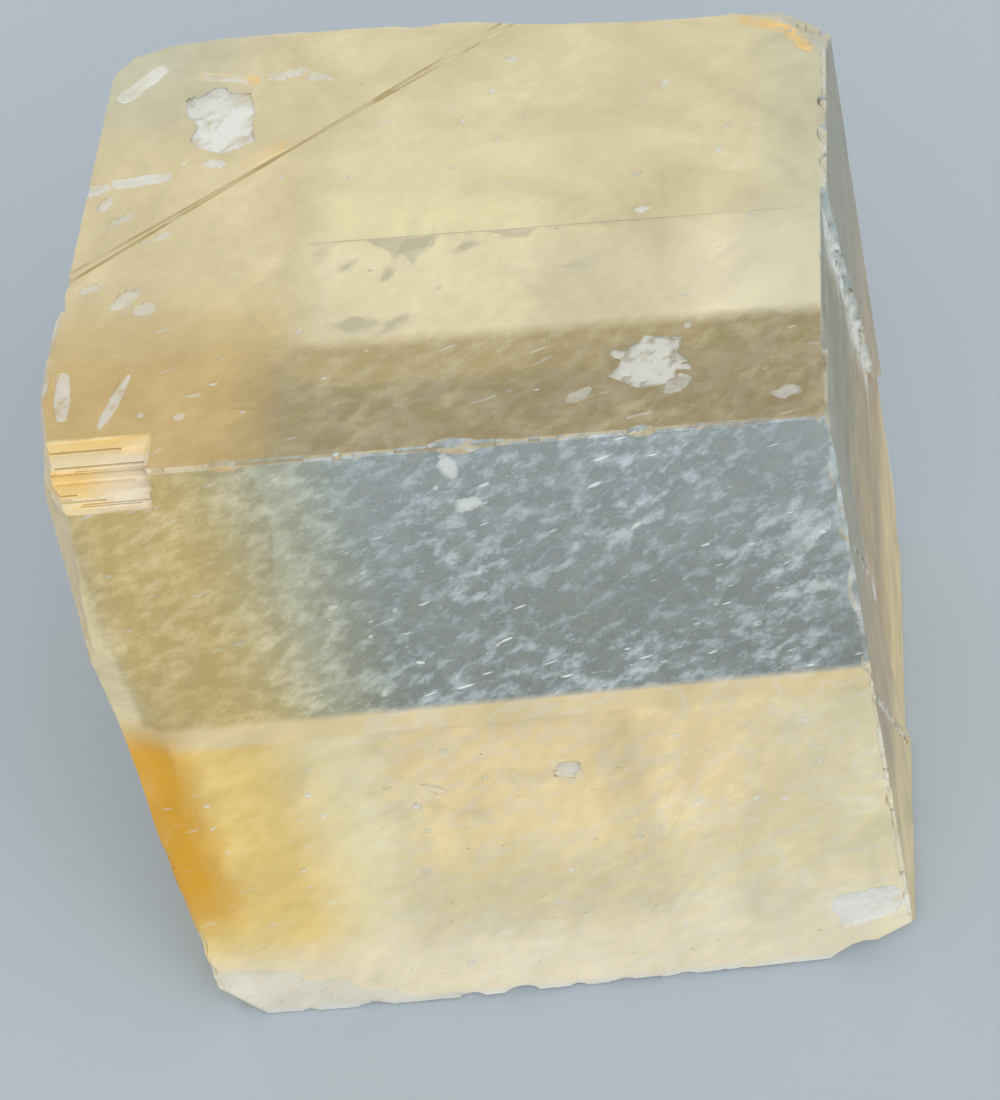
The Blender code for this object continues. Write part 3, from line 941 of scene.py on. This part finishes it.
def on_twin_lines(centres, facing):
    """Return 1 for the polygons on a twin line on the top, and 0 for the rest."""
    found = np.zeros(len(centres))
    for line_start, across in twin_lines():
        reach = (centres / MM - np.array(line_start)) @ np.array(across)
        found[(np.abs(reach) < TWIN_WIDTH / 2) & facing] = 1.0
    return found


def read(items, name, width=1, kind=float):
    """Return one property of all points, corners or polygons of a mesh as an array."""
    values = np.zeros(len(items) * width, kind)
    items.foreach_get(name, values)
    return values.reshape(-1, width) if width > 1 else values


def shade(mesh):
    """Shade cleavage planes flat and broken surfaces smooth, and note what each surface is."""
    mesh.shade_smooth()
    mesh.set_sharp_from_angle(angle=math.radians(SHARP_ANGLE))
    facing = read(mesh.polygons, "normal", 3) @ np.array([OUTWARD[face] for face in SIDES]).T
    flat = facing.max(axis=1) > FLAT
    mesh.polygons.foreach_set("use_smooth", ~flat)
    centres = read(mesh.polygons, "center", 3)
    olive = on_twin_lines(centres, facing[:, SIDES.index("top")] > FLAT)

    # The depths below the faces stand in the order of SIDES.
    a, b, c = lattice_places(centres).T
    depths = np.column_stack((RISE_EDGE - c, b, FRONT_EDGE - a, DEPTH_EDGE - b, a, c))
    sides = facing.argmax(axis=1)
    broken = ~flat | (depths[np.arange(len(sides)), sides] > RECESS)
    corners = read(mesh.loops, "vertex_index", kind=int)
    places = lattice_places(read(mesh.vertices, "co", 3))
    soft = {name: clouds(places, *kind)[corners] for name, kind in CLOUDS.items()}
    sizes = read(mesh.polygons, "loop_total", kind=int)
    tint, marks = surface_notes(places[corners], soft, np.repeat(sides, sizes),
                                np.repeat(broken, sizes), np.repeat(olive, sizes))
    for name, values in (("tint", tint), ("marks", marks)):
        mesh.attributes.new(name, "FLOAT_COLOR", "CORNER")
        mesh.attributes[name].data.foreach_set("color", values.ravel())


class Graph:
    """Adds nodes to a material and links what they are given."""

    def __init__(self, tree):
        self.tree = tree

    def add(self, kind, settings=None, inputs=None):
        """Add a node, with its settings and its inputs: numbers or other nodes' outputs."""
        made = self.tree.nodes.new(kind)
        for name, value in (settings or {}).items():
            setattr(made, name, value)
        for name, value in (inputs or {}).items():
            self.feed(made.inputs[name], value)
        return made

    def feed(self, socket, value):
        """Link an output to a socket, or set the socket to a value."""
        if isinstance(value, bpy.types.NodeSocket):
            self.tree.links.new(value, socket)
        else:
            socket.default_value = value

    def math(self, operation, *values, clamp=False):
        """Return the output of a math node."""
        inputs = dict(enumerate(values))
        settings = {"operation": operation, "use_clamp": clamp}
        return self.add("ShaderNodeMath", settings, inputs).outputs[0]

    def product(self, *values):
        """Return the product of several values."""
        total = values[0]
        for value in values[1:]:
            total = self.math("MULTIPLY", total, value)
        return total

    def fade(self, value, none, full):
        """Return 0 where a value is at none, 1 where it is at full, and smooth between."""
        inputs = {"Value": value, "From Min": none, "From Max": full}
        return self.add("ShaderNodeMapRange", {"interpolation_type": "SMOOTHSTEP"},
                        inputs).outputs["Result"]

    def stretched(self, where, rise, depth, stretch):
        """Return coordinates in millimetres, drawn out along a line that rises and goes back."""
        turn = (FRONT + rise * RISE + depth * DEPTH).normalized().to_track_quat("X", "Z")
        inputs = {"Vector": where, "Rotation": tuple(turn.to_euler()), "Scale": (stretch * MM, MM, MM)}
        return self.add("ShaderNodeMapping", {"vector_type": "TEXTURE"}, inputs).outputs[0]

    def noise(self, spot, scale, detail, rough=0.5):
        """Return a noise from 0 to 1, with its scale per millimetre."""
        inputs = {"Vector": spot, "Scale": scale, "Detail": detail, "Roughness": rough}
        return self.add("ShaderNodeTexNoise", {"noise_dimensions": "3D"}, inputs).outputs["Fac"]

    def mix(self, share, first, second):
        """Return a colour between two colours."""
        mixed = self.add("ShaderNodeMix", {"data_type": "RGBA"})
        self.feed(mixed.inputs[0], share)
        self.feed(mixed.inputs[6], first)
        self.feed(mixed.inputs[7], second)
        return mixed.outputs[2]


def swirls(graph, spot, wisps):
    """Return white curls for wisps above 0.5, and dark smudges for wisps below it."""
    swirl = graph.noise(spot, 0.34, 2.0, 0.6)
    middle = graph.math("ABSOLUTE", graph.math("SUBTRACT", swirl, 0.5))
    light_share = graph.math("MULTIPLY_ADD", wisps, 2.0, -1.0, clamp=True)
    dark_share = graph.math("MULTIPLY_ADD", wisps, -2.0, 1.0, clamp=True)
    curl = graph.product(graph.fade(middle, 0.06, 0.01), light_share, 0.3)
    smudge = graph.product(graph.fade(swirl, 0.57, 0.67), dark_share, 0.45)
    return curl, smudge


def surface_shades(graph):
    """Return the colour, roughness and frost of the surface, from its two attributes."""
    tint = graph.add("ShaderNodeAttribute", {"attribute_name": "tint"})
    marks = graph.add("ShaderNodeAttribute", {"attribute_name": "marks"})
    parts = graph.add("ShaderNodeSeparateXYZ", inputs={"Vector": marks.outputs["Vector"]})
    white_share, felt_share, rough = parts.outputs
    where = graph.add("ShaderNodeTexCoord").outputs["Object"]
    leaning = graph.stretched(where, rise=0.42, depth=0.55, stretch=1.9)
    felt = graph.noise(leaning, 1.1, 3.0, 0.62)
    curl, smudge = swirls(graph, leaning, marks.outputs["Alpha"])
    scratch = graph.noise(graph.stretched(where, rise=0.20, depth=0.25, stretch=12.0), 3.0, 0.0)
    felted = graph.product(graph.fade(felt, 0.36, 0.76), felt_share)
    scratched = graph.product(graph.fade(scratch, 0.75, 0.85), graph.math("ADD", felt_share, 0.3))

    haze = graph.math("ADD", graph.math("ADD", tint.outputs["Alpha"], felted), smudge)
    white = graph.product(white_share, graph.fade(felt, 0.20, 0.52))
    for mark in (scratched, curl, graph.math("MULTIPLY", felted, 0.6)):
        white = graph.math("MAXIMUM", white, mark)
    frost = graph.math("MINIMUM", graph.math("MAXIMUM", haze, white), 0.95)
    colour = graph.mix(white, tint.outputs["Color"], (*WHITE, 1.0))
    colour = graph.mix(smudge, colour, (*SMUDGE, 1.0))
    colour = graph.mix(graph.fade(frost, 0.0, 0.25), (1.0, 1.0, 1.0, 1.0), colour)
    return colour, graph.math("MULTIPLY_ADD", white, 0.4, rough), frost


def calcite_material():
    """Return the crystal's material: clear honey glass with haze, scratches and bruises."""
    material = bpy.data.materials.new("honey_calcite")
    material.use_nodes = True
    tree = material.node_tree
    graph = Graph(tree)
    colour, roughness, frost = surface_shades(graph)
    shader = tree.nodes["Principled BSDF"]
    graph.feed(shader.inputs["Base Color"], colour)
    graph.feed(shader.inputs["Roughness"], roughness)
    graph.feed(shader.inputs["Transmission Weight"], graph.math("SUBTRACT", 1.0, frost))
    shader.inputs["IOR"].default_value = CRYSTAL_IOR
    absorption = graph.add("ShaderNodeVolumeAbsorption")
    absorption.inputs["Color"].default_value = HONEY
    absorption.inputs["Density"].default_value = HONEY_DENSITY
    graph.feed(tree.nodes["Material Output"].inputs["Volume"], absorption.outputs[0])
    return material


# The stage: the floor's size in metres, how little it lies below the crystal, and its finish.
FLOOR_SIZE = 3.0
FLOOR_DROP = 0.0001
FLOOR_COLOUR = (0.46, 0.53, 0.60, 1.0)
FLOOR_ROUGHNESS = 0.55
SURROUND_COLOUR = (1.0, 0.98, 0.95, 1.0)
SURROUND_STRENGTH = 0.62

# The camera: what it looks at in millimetres, its direction and roll in degrees, its distance
# in metres, and its lens, sensor and nearest distance.
TARGET = (-7.055, 4.166, 20.654)
AZIMUTH = -10.887
ELEVATION = 51.664
ROLL = 3.545
DISTANCE = 0.19346
LENS = 92.447
SENSOR = 36.0
NEAREST = 0.005

# How often light may bounce, in all and off dull surfaces.
BOUNCES = 12
DIFFUSE_BOUNCES = 2


def add_floor():
    """Add the plain pale floor that the crystal rests on."""
    bpy.ops.mesh.primitive_plane_add(size=FLOOR_SIZE, location=(0.0, 0.0, -FLOOR_DROP))
    floor = bpy.context.object
    floor.name = "floor"
    material = bpy.data.materials.new("pale_floor")
    material.use_nodes = True
    shader = material.node_tree.nodes["Principled BSDF"]
    shader.inputs["Base Color"].default_value = FLOOR_COLOUR
    shader.inputs["Roughness"].default_value = FLOOR_ROUGHNESS
    floor.data.materials.append(material)


def add_softbox(name, away, distance, size, radiance):
    """Add a large soft light at a distance in one direction, facing the crystal."""
    lamp = bpy.data.lights.new(name, "AREA")
    lamp.shape = "RECTANGLE"
    lamp.size, lamp.size_y = size
    lamp.energy = radiance * math.pi * size[0] * size[1]
    box = bpy.data.objects.new(name, lamp)
    bpy.context.scene.collection.objects.link(box)
    away = Vector(away).normalized()
    box.location = away * distance
    box.rotation_euler = away.to_track_quat("Z", "Y").to_euler()


def add_lights():
    """Add soft studio light: a pale surround, a broad box in front and one behind."""
    world = bpy.data.worlds.new("surround")
    bpy.context.scene.world = world
    world.use_nodes = True
    background = world.node_tree.nodes["Background"]
    background.inputs["Color"].default_value = SURROUND_COLOUR
    background.inputs["Strength"].default_value = SURROUND_STRENGTH
    add_softbox("key", away=(-0.02, -0.66, 0.75), distance=1.1, size=(1.6, 1.2), radiance=1.3)
    add_softbox("back", away=(-0.15, 0.95, 0.27), distance=1.2, size=(1.2, 0.5), radiance=1.5)


def add_camera():
    """Add the camera at the photo's viewing angle."""
    azimuth = math.radians(AZIMUTH)
    elevation = math.radians(ELEVATION)
    back = Vector((math.sin(azimuth) * math.cos(elevation),
                   -math.cos(azimuth) * math.cos(elevation), math.sin(elevation)))
    lens = bpy.data.cameras.new("camera")
    lens.lens = LENS
    lens.sensor_width = SENSOR
    lens.clip_start = NEAREST
    camera = bpy.data.objects.new("camera", lens)
    bpy.context.scene.collection.objects.link(camera)
    camera.location = Vector(TARGET) * MM + back * DISTANCE
    camera.rotation_mode = "QUATERNION"
    roll = Quaternion((0.0, 0.0, 1.0), math.radians(ROLL))
    camera.rotation_quaternion = (-back).to_track_quat("-Z", "Y") @ roll
    bpy.context.scene.camera = camera


def main():
    """Build the crystal, its stage and its light."""
    noise.seed_set(NOISE_SEED)
    add_camera()
    add_lights()
    add_floor()
    crystal = crystal_mesh()
    crystal.data.materials.clear()
    crystal.data.materials.append(calcite_material())
    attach(crystal, "root")
    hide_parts(NODE)
    scene = bpy.context.scene
    scene.view_settings.view_transform = "Standard"
    scene.cycles.max_bounces = BOUNCES
    scene.cycles.transmission_bounces = BOUNCES
    scene.cycles.glossy_bounces = BOUNCES
    scene.cycles.diffuse_bounces = DIFFUSE_BOUNCES


main()
